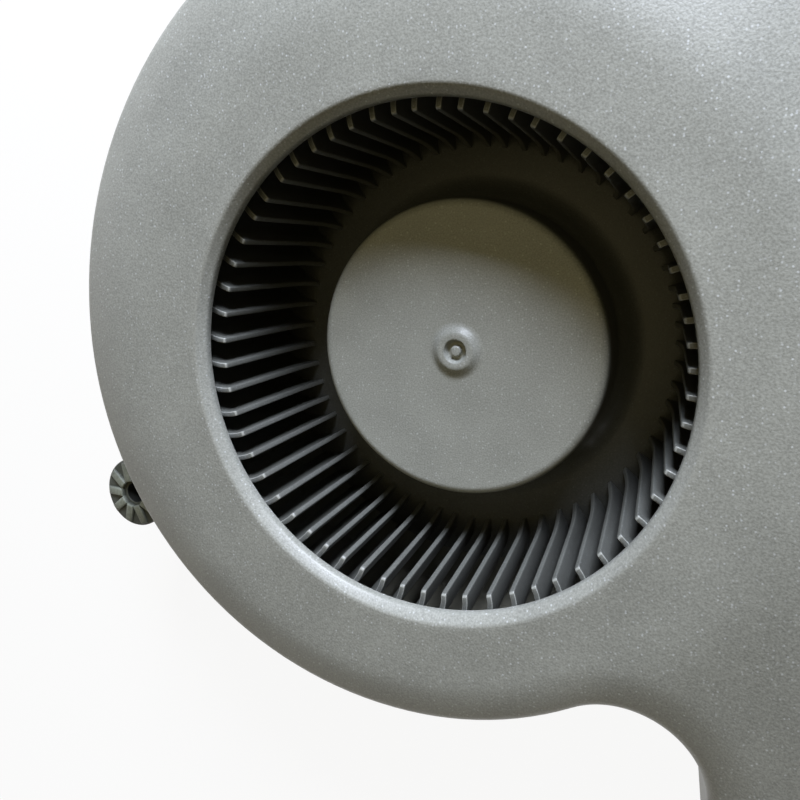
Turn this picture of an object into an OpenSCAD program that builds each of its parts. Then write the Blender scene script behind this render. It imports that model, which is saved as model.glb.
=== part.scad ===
// Centrifugal blower fan for a computer: scroll housing, round inlet, side outlet and squirrel-cage impeller
// Sizes are in mm, the base lies on z = 0, the inlet faces +Z and the impeller turns about Z

/* [Housing] */
// Height from the base to the inlet face
housing_h = 32; // [31:0.5:36]
// Outer radius of the scroll's first quarter
scroll_r = 52.25; // [51:0.05:54]
// Growth of the scroll's radius at every quarter turn
scroll_step = 5.8; // [5.2:0.05:6.2]
// Thickness of the side walls
wall_t = 2; // [1.6:0.1:2.4]
// Thickness of the inlet face
roof_t = 2.1; // [1.7:0.1:2.5]
// Thickness of the base
floor_t = 2; // [1.8:0.1:2.2]
// Rounding around the inlet face's outer edge
edge_r = 3; // [2.6:0.1:4]
// Rounding around the base's outer edge
base_edge_r = 1.2; // [0.6:0.1:1.6]
// Height of the split between casing and cover
split_z = 15.6; // [15:0.1:17]

/* [Inlet and outlet] */
// Radius of the inlet's throat
inlet_r = 33; // [31:0.1:34]
// Rounding of the inlet's upper edge
lip_r = 1.4; // [0.8:0.1:1.6]
// Direction of the hollow between scroll and duct, seen from the scroll's centre
tongue_turn = 299.4; // [298:0.1:301]
// Distance of the outlet's mouth from the impeller's axis
mouth_d = 60; // [59:0.5:70]
// Radius of the hollow between scroll and duct
tongue_r = 10.9; // [9:0.1:12]

/* [Mounting ears] */
// Distance from the scroll's first quarter out to the circle through the ears' holes
ear_stand = 26.5; // [25.5:0.1:28.5]
// Shift of that circle towards the duct, in radii of the scroll's first quarter
ear_shift = 0.2632; // [0.25:0.0002:0.275]
// Place of that circle's centre along Y
ear_circle_y = -1.55; // [-2:0.05:-1]
// Direction of the first ear
ear_turn = 199.7; // [199:0.1:201]
// Thickness of the ears
ear_t = 3; // [2.4:0.1:3.6]
// Radius of the rubber grommets
grommet_r = 6.2; // [5.8:0.1:6.8]
// Height of the grommet's outer rim over the ear
grommet_rim = 4.9; // [4:0.1:5.2]
// Rise of the grommet's cone from its rim to its hole
grommet_rise = 0.4; // [0.2:0.1:0.8]
// Radius of the grommet's hole
grommet_hole_r = 1.8; // [1.6:0.1:2.1]
// Number of ribs on each side of a grommet
grommet_ribs = 10; // [8:2:12]
// Radius of the cover screws' shanks
screw_r = 1.3; // [1:0.05:1.5]

/* [Impeller] */
// Radius of the blades' inner edges
blade_in_r = 31.9; // [31:0.1:32.4]
// Radius of the blades' outer edges
blade_out_r = 38.6; // [37.5:0.1:40]
// Thickness of a blade
blade_t = 0.8; // [0.6:0.05:1]
// Bending radius of a blade, in widths of the blade ring
blade_bend = 1.2; // [1.1:0.05:2]
// Gap between the inlet face and the blades' tops
blade_gap = 1.5; // [1.2:0.1:1.8]
// Gap between the base and the impeller's rim
plate_gap = 1.7; // [1.2:0.1:2]
// Radius of the hub
hub_r = 22.3; // [21.8:0.1:23.4]
// Depth of the hub's face under the inlet face
hub_drop = 12.4; // [11.6:0.1:13]

/* [Motor] */
// Radius of the shaft
shaft_r = 1.5; // [1.2:0.05:1.75]
// Radial clearance between shaft and sleeve
running_fit = 0.03; // [0.02:0.01:0.06]
// Gap between magnet and stator
air_gap = 0.6; // [0.5:0.05:0.9]
// Thickness of the magnet ring
magnet_t = 1.9; // [1.5:0.1:2.4]
// Gap between the windings and the yoke
coil_gap = 1; // [0.8:0.1:1.6]
// Outer radius of the bearing tube
tube_r = 5.2; // [4.9:0.1:5.6]
// Width of a stator pole
pole_w = 5; // [4:0.1:5.6]
// Thickness of a winding
coil_t = 1.4; // [1:0.1:1.6]
// Height of the board over the base
board_lift = 1.5; // [1.4:0.1:1.8]

/* [Hidden] */
$fn = 96;
eps = 0.01;
big = 200;
run_out = 5;

// Scroll: four quarter arcs around the corners of a small square, as the volute is drawn on paper
half = scroll_step / 2;
c0 = [-half, -half];
c1 = [-half, half];
c2 = [half, half];
c3 = [half, -half];
r0 = scroll_r - scroll_step;
r1 = scroll_r;
r2 = scroll_r + scroll_step;
r3 = scroll_r + 2 * scroll_step;
right_x = half + r3;
tongue = c0 + (r0 + tongue_r) * [cos(tongue_turn), sin(tongue_turn)];
ear_circle_r = scroll_r + ear_stand;
ear_circle_x = ear_shift * scroll_r;

// Levels
lip_z = housing_h - roof_t;
blade_top = lip_z - blade_gap;
plate_drop = 1.2;
rim_t = 1.2;
rim_z = floor_t + plate_gap + rim_t;
plate_z = rim_z + plate_drop;
hub_top = lip_z - hub_drop;
hub_t = 1.6;
ear_z = split_z - ear_t;
board_z = floor_t + board_lift;
board_t = 1;
board_gap = 0.6;
sheet_t = 0.5;
yoke_t = 1;
yoke_top = hub_top - hub_t;
stack_z = board_z + board_t + board_gap + coil_t + sheet_t;
stack_top = yoke_top - yoke_t - coil_gap - coil_t - sheet_t;
stack_h = stack_top - stack_z;
tube_z = floor_t / 2;
tube_top = stack_top + sheet_t + 0.5;
bush_z = tube_top + 1;

// Housing details
lap_t = 0.9;
lap_h = 1.2;
lap_gap = 0.1;
inner_r = edge_r - wall_t;
overlap = 0.5;
lug_r = 3;
lug_out = 2.6;
lug_z = split_z - 9.5;
lug_top = split_z + 6;
lug_y = -20;
screw_head_r = 2.4;
screw_head_h = 1.7;
slot_l = 2.8;
slot_w = 0.6;
slot_d = 1;
lug_cap = 1.2;
screw_len = lug_top - lug_z - lug_cap - 0.5;
screw_gap = 0.1;
neck_r = 4.2;
neck_gap = 0.1;
collar_t = 0.9;
rib_w = 1.2;
rib_h = 0.4;
ear_r = 5.4;
ear_bite = 1.5;
wire_w = 5;
wire_depth = floor_t / 2;
wire_a = 236;

// Hub details
hub_edge_r = 1.4;
cup_wall = 1.7;
cup_r = hub_r - cup_wall;
ring_w = 2.4;
ring_h = 2;
ring_out = 0.4;
ring_drop = 0.3;
flare_r = 4;
flare_out = 0.6;
boss_r = 5;
bushing_r = 3.2;
gate_r = 2.7;
gate_foot_r = 3.9;
gate_h = 0.9;
gate_pit_r = 1.75;
gate_pit_foot_r = 1.35;
gate_pit_h = 0.3;
gate_nub_r = 0.8;
blade_bend_r = blade_bend * (blade_out_r - blade_in_r);

// Directions of the blades, unevenly spaced so that the wheel does not sing at one pitch
blade_turns = [1.5, 6.7, 11.8, 16.7, 22.5, 28.2, 34, 40.1, 46.2, 52.4, 58.6, 65, 70.2, 76, 81.9,
  87, 92.7, 97.7, 103, 108.8, 114.3, 119.7, 125.5, 131, 137.5, 143.2, 150.1, 156.6, 163.3, 170,
  176.9, 183.5, 190, 196.4, 202.1, 208.1, 214.5, 221.2, 227.5, 233.6, 239.3, 244.8, 250.5, 256.6,
  261.9, 267.6, 272.9, 278.3, 284.5, 290.4, 296.1, 301.6, 307.9, 314.3, 320.6, 326.7, 332.8, 339,
  344.5, 350, 355.9];

// Motor details
seat_gap = 0.05;
yoke_r = cup_r - seat_gap;
magnet_r = yoke_r - yoke_t;
magnet_over = 1.2;
magnet_h = stack_h + 2 * magnet_over;
magnet_z = stack_z - magnet_over;
yoke_z = magnet_z - 0.3;
stator_r = magnet_r - magnet_t - air_gap;
shoe_t = 1.9;
coil_in = tube_r + 3.6;
coil_out = stator_r - shoe_t - 0.6;
core_r = tube_r + 3;
seat_r = tube_r + 1.4;
sleeve_r = 3.6;
thrust_t = 0.8;
groove_z = tube_z + thrust_t + 0.7;
groove_h = 0.7;
groove_r = shaft_r - 0.35;
sleeve_z = groove_z + groove_h + 0.5;
sleeve_top = tube_top - 0.9;
shaft_z = tube_z + thrust_t + 0.05;
shaft_top = yoke_top + 0.5;
flange_r = tube_r + 1.3;
pin_r = 0.35;
pin_place = tube_r + 2.2;
pin_gap = 0.1;
pin_tail = 0.9;
board_in = tube_r + 0.3;
board_out = magnet_r - magnet_t - 0.4;
part_r = 11.5;
chip_x = 4;
chip_y = 5;
chip_h = 1.1;
hall_x = 1.6;
hall_y = 3;
hall_h = 0.8;
hall_in = 2.6;
cap_x = 2.4;
cap_y = 1.4;
cap_h = 0.8;

function arc(c, r, a, b, n) = [for (i = [0:n]) c + r * [cos(a + (b - a) * i / n), sin(a + (b - a) * i / n)]];
function at(c, r, a) = c + r * [cos(a), sin(a)];
function ear(i) = at([ear_circle_x, ear_circle_y], ear_circle_r, ear_turn - 120 * i);

// Where the cover screws sit, outside the wall
lugs = [at(c1, r1 + lug_out, 247), at(c2, r2 + lug_out, 146), at(c3, r3 + lug_out, 32),
  [right_x + lug_out, lug_y]];

// Points that the ears lean towards, and how far the ears reach into the wall
ear_feet = [c1, c3, [half, ear(2).y]];
ear_reach = [norm(ear(0) - c1) - r1 + ear_bite, norm(ear(1) - c3) - r3 + ear_bite,
  ear(2).x - right_x + ear_bite];

// Moves to p in two steps, because a single step keeps only six digits
module place(p) {
  q = [for (v = p) round(10 * v) / 10];
  translate(q) translate(p - q) children();
}

// One quarter of a disc
module quarter(c, r, a) {
  translate(c) rotate(a) intersection() {
    circle(r);
    square(r + 1);
  }
}

// Plan of the scroll and duct, drawn in by d and running past the mouth
module outline(d) {
  x = tongue.x + tongue_r + d;
  y = -mouth_d - run_out;
  difference() {
    union() {
      quarter(c0, r0 - d, 270);
      quarter(c1, r1 - d, 180);
      quarter(c2, r2 - d, 90);
      quarter(c3, r3 - d, 0);
      polygon([c0, c3, c2, c1]);
      polygon([c0, tongue, [x, tongue.y], [x, y], [right_x - d, y], [right_x - d, c3.y]]);
    }
    translate(tongue) circle(tongue_r + d + 0.05);
  }
}

// Wall section carried along one arc
module bend(c, r, a, b) {
  translate(c) rotate(a) rotate_extrude(angle = b - a) translate([r, 0]) children();
}

// Wall section carried around the whole outline, with x = 0 on the outer face and -x inwards
module around() {
  bend(c1, r1, 180, 270) children();
  bend(c2, r2, 90, 180) children();
  bend(c3, r3, 0, 90) children();
  bend(c0, r0, 270, tongue_turn) children();
  translate([right_x, c3.y, 0]) rotate([90, 0, 0]) linear_extrude(c3.y + mouth_d + run_out) children();
  place(tongue) {
    rotate_extrude(angle = tongue_turn - 180) translate([tongue_r, 0]) mirror([1, 0]) children();
    translate([tongue_r, 0, 0]) rotate([90, 0, 0]) linear_extrude(tongue.y + mouth_d + run_out)
      mirror([1, 0]) children();
  }
}

// All that lies past the mouth
module past_mouth() {
  translate([-big, -mouth_d - big, -big]) cube([2 * big, big, 2 * big]);
}

// Tongue-shaped tab: round end of radius r at p, and sides that lead towards q over a length of reach
module tab(p, q, r, reach, foot) {
  translate(p) rotate(atan2(q.y - p.y, q.x - p.x)) {
    intersection() {
      circle(r);
      translate([-2 * r, -2 * r]) square([2 * r, 4 * r]);
    }
    polygon([[0, -r], [reach, -foot], [reach, foot], [0, r]]);
  }
}

// Screw lug outside the wall
module lug(p, z, h) {
  translate([0, 0, z]) linear_extrude(h) difference() {
    tab(p, [0, 0], lug_r, lug_out + 2 * overlap, lug_r);
    outline(overlap);
  }
}

// Holes for the cover screws
module screw_holes(z, h) {
  for (p = lugs) translate([p.x, p.y, z]) cylinder(h = h, r = screw_r + screw_gap);
}

// Ear with a round seat for a grommet
module ear_plate(i) {
  p = ear(i);
  translate([0, 0, ear_z]) linear_extrude(ear_t) difference() {
    tab(p, ear_feet[i], ear_r, ear_reach[i], ear_r + 0.2 * ear_reach[i]);
    outline(overlap);
    translate(p) circle(neck_r);
  }
}

module scroll_casing() {
  section = concat([[-wall_t - 2 * overlap, floor_t], [-wall_t - 2 * overlap, 0]],
    arc([-base_edge_r, base_edge_r], base_edge_r, -90, 0, 6),
    [[0, split_z], [-wall_t + lap_t, split_z], [-wall_t + lap_t, split_z + lap_h],
    [-wall_t, split_z + lap_h], [-wall_t, floor_t]]);
  color([0.35, 0.35, 0.34]) difference() {
    union() {
      linear_extrude(floor_t) outline(wall_t + overlap);
      around() polygon(section);
      for (i = [0:2]) ear_plate(i);
      for (p = lugs) lug(p, lug_z, split_z - lug_z);
      cylinder(h = board_z, r = seat_r);
    }
    past_mouth();
    screw_holes(lug_z - 1, split_z - lug_z + 2);
    translate([0, 0, tube_z]) cylinder(h = board_z, r = tube_r);
    rotate(wire_a) translate([core_r + 3, -wire_w / 2, -eps]) cube([big, wire_w, wire_depth + eps]);
    rotate(wire_a) translate([core_r + 3, -wire_w / 2, -eps]) cube([4, wire_w, floor_t + 2 * eps]);
  }
}

module inlet_cover() {
  section = concat([[-edge_r - 2 * overlap, lip_z]], arc([-edge_r, lip_z - inner_r], inner_r, 90, 0, 4),
    [[-wall_t, split_z + lap_h + lap_gap], [-wall_t + lap_t + lap_gap, split_z + lap_h + lap_gap],
    [-wall_t + lap_t + lap_gap, split_z], [0, split_z]],
    arc([-edge_r, housing_h - edge_r], edge_r, 0, 90, 8), [[-edge_r - 2 * overlap, housing_h]]);
  mouth = concat([[0, lip_z - 1], [inlet_r, lip_z - 1]],
    arc([inlet_r + lip_r, housing_h - lip_r], lip_r, 180, 90, 6), [[inlet_r + lip_r, housing_h + 1],
    [0, housing_h + 1]]);
  color([0.42, 0.42, 0.42]) difference() {
    union() {
      translate([0, 0, lip_z]) linear_extrude(roof_t) outline(edge_r + overlap);
      around() polygon(section);
      for (p = lugs) lug(p, split_z, lug_top - split_z);
    }
    past_mouth();
    screw_holes(split_z - 1, lug_top - split_z + 1 - lug_cap);
    rotate_extrude() polygon(mouth);
  }
}

module cover_screws() {
  color([0.62, 0.62, 0.64]) for (p = lugs) translate([p.x, p.y, lug_z - screw_head_h]) difference() {
    union() {
      cylinder(h = screw_head_h, r = screw_head_r);
      cylinder(h = screw_head_h + screw_len, r = screw_r);
    }
    for (a = [0, 90]) rotate(a) translate([-slot_l / 2, -slot_w / 2, -eps])
      cube([slot_l, slot_w, slot_d + eps]);
  }
}

// Half of a grommet over the ear's face: flange, hole collar and sloping ribs
module grommet_half() {
  collar_r = grommet_hole_r + collar_t;
  cylinder(h = grommet_rim - rib_h, r = grommet_r);
  cylinder(h = grommet_rim + grommet_rise, r = collar_r);
  intersection() {
    translate([0, 0, grommet_rim - rib_h]) {
      cylinder(h = rib_h, r = grommet_r);
      translate([0, 0, rib_h]) cylinder(h = grommet_rise, r1 = grommet_r, r2 = collar_r - collar_t / 2);
    }
    for (k = [0:grommet_ribs - 1]) rotate(360 * k / grommet_ribs)
      translate([collar_r - collar_t / 2, -rib_w / 2, 0])
        cube([grommet_r, rib_w, grommet_rim + grommet_rise]);
  }
}

module grommets() {
  color([0.06, 0.06, 0.06]) for (i = [0:2]) translate([ear(i).x, ear(i).y, ear_z]) difference() {
    union() {
      cylinder(h = ear_t, r = neck_r - neck_gap);
      translate([0, 0, ear_t]) grommet_half();
      mirror([0, 0, 1]) grommet_half();
    }
    translate([0, 0, -big / 2]) cylinder(h = big, r = grommet_hole_r);
  }
}

module bearing_tube() {
  color([0.78, 0.62, 0.28]) difference() {
    union() {
      translate([0, 0, tube_z]) cylinder(h = tube_top - tube_z, r = tube_r);
      translate([0, 0, stack_z - sheet_t - 1]) cylinder(h = 1, r = flange_r);
    }
    translate([0, 0, tube_z - 1]) cylinder(h = tube_top + 2, r = sleeve_r);
  }
}

module bearing_sleeve() {
  color([0.62, 0.45, 0.24]) translate([0, 0, sleeve_z]) difference() {
    cylinder(h = sleeve_top - sleeve_z, r = sleeve_r);
    translate([0, 0, -1]) cylinder(h = sleeve_top, r = shaft_r + running_fit);
  }
}

module thrust_plate() {
  color([0.9, 0.9, 0.86]) translate([0, 0, tube_z]) cylinder(h = thrust_t, r = sleeve_r);
}

// Plan of the stator: a ring on the tube, four poles and their shoes
module stator_plan(r) {
  difference() {
    union() {
      circle(core_r);
      for (a = [0:90:270]) rotate(a) {
        translate([0, -pole_w / 2]) square([stator_r - shoe_t / 2, pole_w]);
        intersection() {
          difference() {
            circle(r);
            circle(stator_r - shoe_t);
          }
          polygon([[0, 0], 2 * r * [cos(38), -sin(38)], 2 * r * [cos(38), sin(38)]]);
        }
      }
    }
    circle(tube_r);
  }
}

module stator_core() {
  color([0.45, 0.45, 0.48]) translate([0, 0, stack_z]) linear_extrude(stack_h) stator_plan(stator_r);
}

module upper_insulator() {
  color([0.9, 0.88, 0.8]) translate([0, 0, stack_z + stack_h]) linear_extrude(sheet_t)
    stator_plan(stator_r - 0.6);
}

module lower_insulator() {
  color([0.9, 0.88, 0.8]) translate([0, 0, stack_z - sheet_t]) linear_extrude(sheet_t)
    stator_plan(stator_r - 0.6);
}

module windings() {
  h = stack_h + 2 * sheet_t;
  w = pole_w + 2 * coil_t;
  color([0.72, 0.38, 0.16]) for (a = [0:90:270]) rotate(a)
    translate([coil_in, 0, stack_z - sheet_t]) difference() {
      translate([0, -w / 2, -coil_t]) cube([coil_out - coil_in, w, h + 2 * coil_t]);
      translate([-1, -pole_w / 2, 0]) cube([big, pole_w, h]);
    }
}

module terminal_pins() {
  color([0.75, 0.72, 0.6]) for (a = [45, 135, 225]) rotate(a) translate([pin_place, 0, board_z - pin_tail])
    cylinder(h = stack_z - sheet_t - board_z + pin_tail, r = pin_r);
}

module circuit_board() {
  color([0.1, 0.35, 0.18]) translate([0, 0, board_z]) linear_extrude(board_t) difference() {
    circle(board_out);
    circle(board_in);
    for (a = [45, 135, 225]) rotate(a) translate([pin_place, 0]) circle(pin_r + pin_gap);
    rotate(wire_a) translate([core_r + 3, -wire_w / 2]) square([4, wire_w]);
  }
}

module driver_chip() {
  color([0.09, 0.09, 0.1]) rotate(20) translate([part_r, -chip_y / 2, board_z - chip_h])
    cube([chip_x, chip_y, chip_h]);
}

module hall_sensor() {
  color([0.09, 0.09, 0.1]) rotate(45) translate([board_out - hall_in, -hall_y / 2, board_z + board_t])
    cube([hall_x, hall_y, hall_h]);
}

module chip_capacitors() {
  color([0.7, 0.6, 0.45]) for (a = [80, 110, 140]) rotate(a) translate([part_r, -cap_y / 2, board_z - cap_h])
    cube([cap_x, cap_y, cap_h]);
}

// One blade: a strip of constant thickness bent forwards, towards the clockwise turn
module blade() {
  reach = asin((blade_out_r - blade_in_r - blade_t / 2) / blade_bend_r);
  c = [blade_in_r, -blade_bend_r];
  polygon(concat(arc(c, blade_bend_r + blade_t / 2, 90, 90 - reach, 6),
    arc(c, blade_bend_r - blade_t / 2, 90 - reach, 90, 6)));
}

module impeller() {
  pit_z = hub_top - gate_pit_h;
  section = concat([[0, pit_z], [gate_pit_foot_r, pit_z], [gate_pit_r, hub_top + gate_h],
    [gate_r, hub_top + gate_h], [gate_foot_r, hub_top]],
    arc([hub_r - hub_edge_r, hub_top - hub_edge_r], hub_edge_r, 90, 0, 6),
    arc([hub_r + flare_out + flare_r, plate_z + 1.2 * flare_r], flare_r, 180, 258, 6),
    [[blade_in_r, plate_z], [blade_out_r, rim_z], [blade_out_r, rim_z - rim_t],
    [hub_r + 1, plate_z - rim_t], [hub_r, yoke_z], [cup_r, yoke_z], [cup_r, yoke_top], [boss_r, yoke_top],
    [boss_r, bush_z], [bushing_r, bush_z], [bushing_r, yoke_top], [shaft_r, yoke_top],
    [shaft_r, shaft_top], [0, shaft_top]]);
  color([0.38, 0.38, 0.37]) union() {
    rotate_extrude() polygon(section);
    translate([0, 0, pit_z - eps]) cylinder(h = gate_h, r = gate_nub_r);
    translate([0, 0, blade_top - ring_drop - ring_h]) difference() {
      cylinder(h = ring_h, r = blade_out_r + ring_out);
      translate([0, 0, -1]) cylinder(h = ring_h + 2, r = blade_out_r + ring_out - ring_w);
    }
    for (turn = blade_turns) rotate(turn) translate([0, 0, rim_z - rim_t / 2])
      linear_extrude(blade_top - rim_z + rim_t / 2) blade();
  }
}

module rotor_yoke() {
  color([0.55, 0.56, 0.58]) difference() {
    translate([0, 0, yoke_z]) cylinder(h = yoke_top - yoke_z, r = yoke_r);
    translate([0, 0, yoke_z - 1]) cylinder(h = yoke_top - yoke_z + 1 - yoke_t, r = magnet_r);
    translate([0, 0, yoke_z]) cylinder(h = big, r = boss_r + seat_gap);
  }
}

module magnet_ring() {
  color([0.17, 0.16, 0.16]) translate([0, 0, magnet_z]) difference() {
    cylinder(h = magnet_h, r = magnet_r);
    translate([0, 0, -1]) cylinder(h = magnet_h + 2, r = magnet_r - magnet_t);
  }
}

module rotor_shaft() {
  color([0.75, 0.75, 0.77]) difference() {
    translate([0, 0, shaft_z]) cylinder(h = shaft_top - shaft_z, r = shaft_r);
    translate([0, 0, groove_z]) difference() {
      cylinder(h = groove_h, r = shaft_r + 1);
      cylinder(h = groove_h, r = groove_r);
    }
  }
}

module shaft_bushing() {
  color([0.8, 0.65, 0.3]) translate([0, 0, bush_z]) difference() {
    cylinder(h = yoke_top - bush_z, r = bushing_r);
    translate([0, 0, -1]) cylinder(h = yoke_top, r = shaft_r);
  }
}

module retaining_ring() {
  color([0.92, 0.92, 0.9]) translate([0, 0, groove_z]) difference() {
    cylinder(h = groove_h, r = shaft_r + 1);
    translate([0, 0, -1]) cylinder(h = groove_h + 2, r = groove_r);
  }
}

module oil_ring() {
  color([0.2, 0.2, 0.2]) translate([0, 0, sleeve_top + 0.4]) difference() {
    cylinder(h = bush_z - sleeve_top - 0.4, r = shaft_r + 1.2);
    translate([0, 0, -1]) cylinder(h = big, r = shaft_r);
  }
}

scroll_casing();
inlet_cover();
cover_screws();
grommets();
bearing_tube();
bearing_sleeve();
thrust_plate();
stator_core();
upper_insulator();
lower_insulator();
windings();
terminal_pins();
circuit_board();
driver_chip();
hall_sensor();
chip_capacitors();
impeller();
rotor_yoke();
magnet_ring();
rotor_shaft();
shaft_bushing();
retaining_ring();
oil_ring();
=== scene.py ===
"""Centrifugal blower fan for a computer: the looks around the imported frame.

Sizes are millimetres in the part's own frame: base on z = 0, inlet towards +Z, impeller turning about Z.
Meshes are drawn in millimetres and brought to metres when their object is made.
"""
import logging
from dataclasses import dataclass, field
from enum import Enum
from functools import partial
from math import asin, atan2, cos, degrees, pi, radians, sin, tan
from typing import Any, Callable, Sequence

import bmesh
import bpy
from bmesh.types import BMEdge, BMesh, BMFace, BMVert
from bpy.types import Node, NodeSocket, NodeTree, Object
from mathutils import Matrix, Vector


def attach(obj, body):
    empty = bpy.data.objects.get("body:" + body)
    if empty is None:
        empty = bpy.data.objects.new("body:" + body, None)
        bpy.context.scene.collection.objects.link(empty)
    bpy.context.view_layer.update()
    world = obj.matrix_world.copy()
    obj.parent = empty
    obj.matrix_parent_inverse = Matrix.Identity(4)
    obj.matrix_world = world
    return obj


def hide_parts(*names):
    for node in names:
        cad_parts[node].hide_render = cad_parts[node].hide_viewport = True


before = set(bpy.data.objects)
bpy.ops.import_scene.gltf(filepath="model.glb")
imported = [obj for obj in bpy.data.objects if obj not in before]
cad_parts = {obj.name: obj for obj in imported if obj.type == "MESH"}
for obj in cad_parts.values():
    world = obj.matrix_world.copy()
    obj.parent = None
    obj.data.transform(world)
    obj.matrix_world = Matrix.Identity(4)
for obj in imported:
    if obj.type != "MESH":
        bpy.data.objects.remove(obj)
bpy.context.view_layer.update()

LOG = logging.getLogger("blower")
MM = 0.001
TINY = 1e-4
ORIGIN = Vector((0, 0, 0))
Place = Callable[[float, float], Vector]
Span = tuple[float, float]
Adder = Callable[..., Node]


class Body(Enum):
    """The bodies that pieces ride on."""

    HOUSING = "housing"
    ROTOR = "rotor"


class Join(Enum):
    """How a second solid changes a first one."""

    ADD = "UNION"
    CUT = "DIFFERENCE"


@dataclass(frozen=True)
class Corner:
    """A corner of a section, u outwards and z upwards, with its rounding."""

    u: float
    z: float
    radius: float = 0.0
    steps: int = 4


# Mesh helpers


def draw_section(bm: BMesh, corners: Sequence[Corner], place: Place, closed: bool = False) -> list[BMEdge]:
    """Lay a chain of edges through the corners and round them.

    Args:
        bm: Mesh that takes the chain.
        corners: Corners in order.
        place: Turns a corner's u and z into a point.
        closed: Whether the last corner joins the first.

    Returns:
        The edges of the chain.
    """
    verts = [bm.verts.new(place(c.u, c.z)) for c in corners]
    pairs = list(zip(verts, verts[1:])) + ([(verts[-1], verts[0])] if closed else [])
    for pair in pairs:
        bm.edges.new(pair)
    for vert, corner in zip(verts, corners):
        if corner.radius:
            bmesh.ops.bevel(bm, geom=[vert], offset=corner.radius, offset_type="OFFSET", affect="VERTICES",
                            segments=corner.steps, profile=0.5, material=-1)
    return [e for e in bm.edges if e.is_wire]


def verts_in(geom: Sequence[Any]) -> list[BMVert]:
    """Give the vertices among mesh elements."""
    return [g for g in geom if isinstance(g, BMVert)]


def last_edges(geom: Sequence[Any]) -> list[BMEdge]:
    """Give the edges whose two ends are both among the given elements."""
    verts = set(verts_in(geom))
    return [g for g in geom if isinstance(g, BMEdge) and verts.issuperset(g.verts)]


def pull(bm: BMesh, edges: Sequence[BMEdge], move: Vector) -> list[BMEdge]:
    """Extrude a chain of edges in a straight line.

    Args:
        bm: Mesh that holds the chain.
        edges: The chain.
        move: How far it goes.

    Returns:
        The chain at the far end.
    """
    made = bmesh.ops.extrude_edge_only(bm, edges=edges)["geom"]
    bmesh.ops.translate(bm, vec=move, verts=verts_in(made))
    return last_edges(made)


def swing(bm: BMesh, edges: Sequence[BMEdge], centre: Vector, angle: float, steps: int) -> list[BMEdge]:
    """Carry a chain of edges along an arc about Z.

    Args:
        bm: Mesh that holds the chain.
        edges: The chain.
        centre: Centre of the arc.
        angle: Degrees, positive anticlockwise seen from the inlet.
        steps: Number of steps.

    Returns:
        The chain at the far end.
    """
    verts = list({v for e in edges for v in e.verts})
    made = bmesh.ops.spin(bm, geom=verts + list(edges), cent=centre, axis=(0, 0, 1), dvec=(0, 0, 0),
                          angle=radians(angle), steps=steps, use_merge=False, use_duplicate=False)
    return last_edges(made["geom_last"])


def turn_round(bm: BMesh, corners: Sequence[Corner], steps: int, closed: bool = False) -> None:
    """Draw a section beside the Z axis and turn it into a full round.

    Args:
        bm: Mesh that takes the round.
        corners: The section, with u as the distance from the axis.
        steps: Number of steps.
        closed: Whether the last corner joins the first.
    """
    edges = draw_section(bm, corners, lambda u, z: Vector((u, 0, z)), closed)
    verts = list({v for e in edges for v in e.verts})
    bmesh.ops.spin(bm, geom=verts + edges, cent=ORIGIN, axis=(0, 0, 1), dvec=(0, 0, 0),
                   angle=2 * pi, steps=steps, use_merge=True, use_duplicate=False)


def tidy(bm: BMesh) -> None:
    """Merge doubles and turn the faces outwards."""
    bmesh.ops.remove_doubles(bm, verts=bm.verts, dist=TINY)
    bmesh.ops.recalc_face_normals(bm, faces=bm.faces)


def raise_prism(bm: BMesh, edges: Sequence[BMEdge], height: float) -> list[BMFace]:
    """Fill a closed flat chain and pull it up into a prism.

    Args:
        bm: Mesh that holds the chain.
        edges: The closed chain.
        height: How far it goes up.

    Returns:
        The two end faces, the lower first.
    """
    foot = bmesh.ops.contextual_create(bm, geom=list(edges))["faces"][0]
    made = bmesh.ops.extrude_face_region(bm, geom=[foot], use_keep_orig=True)["geom"]
    bmesh.ops.translate(bm, vec=(0, 0, height), verts=verts_in(made))
    return [foot] + [g for g in made if isinstance(g, BMFace)]


def soften(bm: BMesh, edges: Sequence[BMEdge], width: float, steps: int = 2) -> None:
    """Round the given edges."""
    bmesh.ops.bevel(bm, geom=list(edges), offset=width, offset_type="OFFSET", affect="EDGES", segments=steps,
                    profile=0.5, material=-1, clamp_overlap=True)


def add_mesh(bm: BMesh, other: BMesh) -> None:
    """Put a copy of another mesh into a mesh and free the other.

    Args:
        bm: Mesh that takes the copy.
        other: Mesh that is copied and freed.
    """
    spare = bpy.data.meshes.new("spare")
    other.to_mesh(spare)
    other.free()
    bm.from_mesh(spare)
    bpy.data.meshes.remove(spare)


def add_copies(bm: BMesh, one: BMesh, places: Sequence[Matrix]) -> None:
    """Put a copy of a mesh at each place and free the mesh.

    Args:
        bm: Mesh that takes the copies.
        one: Mesh that is copied and freed.
        places: Where the copies go.
    """
    for place in places:
        copy = one.copy()
        bmesh.ops.transform(copy, matrix=place, verts=copy.verts)
        add_mesh(bm, copy)
    one.free()


def shade(mesh: bpy.types.Mesh, limit: float = 38.0) -> None:
    """Shade a mesh smoothly, with creases.

    Args:
        mesh: The mesh.
        limit: Degrees between two faces above which their edge is a crease.
    """
    bm = bmesh.new()
    bm.from_mesh(mesh)
    for face in bm.faces:
        face.smooth = True
    for edge in bm.edges:
        edge.smooth = edge.calc_face_angle(0.0) < radians(limit)
    bm.to_mesh(mesh)
    bm.free()


def make_object(bm: BMesh, name: str) -> Object:
    """Turn a mesh in millimetres into an object in metres at the origin.

    Args:
        bm: The mesh, which is freed.
        name: Name of the object.

    Returns:
        The object, linked to the scene.
    """
    bmesh.ops.scale(bm, vec=(MM, MM, MM), verts=bm.verts)
    mesh = bpy.data.meshes.new(name)
    bm.to_mesh(mesh)
    bm.free()
    obj = bpy.data.objects.new(name, mesh)
    bpy.context.scene.collection.objects.link(obj)
    return obj


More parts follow.
